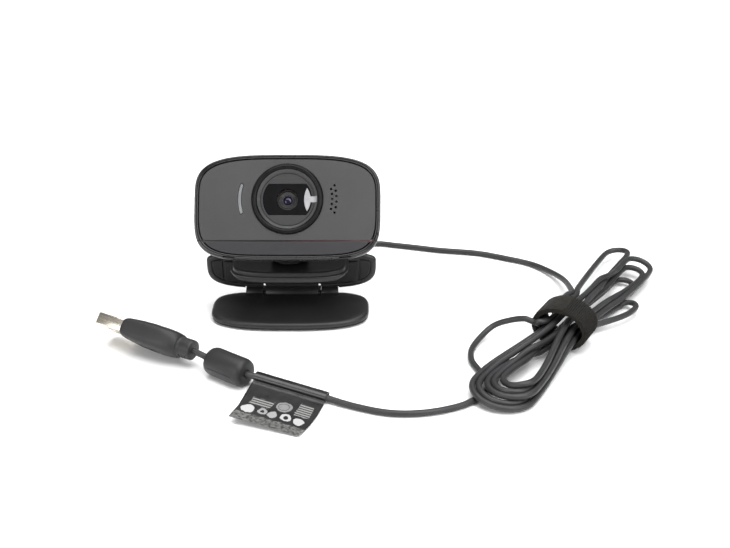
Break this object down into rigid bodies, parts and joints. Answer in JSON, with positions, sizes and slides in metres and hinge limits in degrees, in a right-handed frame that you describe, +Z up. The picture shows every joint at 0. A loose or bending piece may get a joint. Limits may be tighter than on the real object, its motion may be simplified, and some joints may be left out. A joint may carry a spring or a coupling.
{
  "type": "webcam on a folding clip stand",
  "caption": "Compact webcam with a rounded face, a tilting and swivelling neck, a folding clip stand and a USB cord tied in a hank.",
  "frame": {"origin": "on the table, under the middle of the webcam's own box without its cord", "axes": "+Z up, +X to the right as seen from in front of the lens, -Y the way the lens faces; the head leans back 34 degrees at rest"},
  "size_m": [0.2181, 0.1498, 0.0624],
  "materials": {
    "gloss_shell": "polished black moulding",
    "face": "fine satin dark grey",
    "stand": "satin black moulding",
    "rubber": "matt",
    "lens": "coated, dark",
    "clear": "frosted light pipe, unlit",
    "film": "smooth pale plastic",
    "steel": "plated",
    "copper": "enamelled copper wire",
    "board": "solder mask",
    "chip": "moulded chip",
    "cord": "soft satin PVC",
    "tie": "ribbed hook-and-loop tape",
    "label": "printed black film"
  },
  "bodies": {
    "clip": {"clip_body": "stand", "platform_pad": "rubber", "wall_pad": "rubber", "wing_pad_left": "rubber", "wing_pad_right": "rubber", "foot_hinge_pin": "steel", "clip_spring": "steel", "strain_relief": "rubber", "cord_lead": "cord", "cord_side_loop": "cord", "cord_tail": "cord", "cord_end": "cord", "hank": "cord", "cord_tie": "tie", "ferrite_bead": "cord", "cord_label": "label", "plug_overmould": "cord", "plug_shell": "steel", "plug_insert": "film"},
    "foot": {"foot_leaf": "stand", "foot_sole": "rubber"},
    "neck": {"turntable": "stand", "tilt_pin": "steel", "swivel_bolt": "steel", "retaining_ring": "steel"},
    "head": {"front_bezel": "gloss_shell", "face_plate": "face", "chin_strip": "gloss_shell", "light_pipe": "clear", "rear_cover": "gloss_shell", "head_screw_left": "steel", "head_screw_right": "steel", "lens_ring": "gloss_shell", "lens_surround": "face", "lens_window": "lens", "film_tab": "film", "focus_magnet": "steel", "main_board": "board", "image_sensor": "chip", "usb_chip": "chip", "status_light": "clear", "microphone": "steel", "microphone_boot": "rubber"},
    "focus_carriage": {"lens_barrel": "stand", "lens_glass": "lens", "focus_coil": "copper"}
  },
  "joints": [
    {"name": "foot_fold", "type": "hinge", "parent": "clip", "child": "foot", "pos_m": [0, 0.00955, 0.0034], "axis": [1, 0, 0], "range_deg": [0, 100]},
    {"name": "head_swivel", "type": "hinge", "parent": "clip", "child": "neck", "pos_m": [0, 0.00385, 0.0215], "axis": [0, 0, 1], "range_deg": [-180, 180]},
    {"name": "head_tilt", "type": "hinge", "parent": "neck", "child": "head", "pos_m": [0, 0.00241, 0.02593], "axis": [-1, 0, 0], "range_deg": [-20, 16]},
    {"name": "focus_slide", "type": "slide", "parent": "head", "child": "focus_carriage", "axis": [0, -0.829, 0.5592], "range_m": [0, 0.0003], "stiffness_N_per_m": 20}
  ]
}
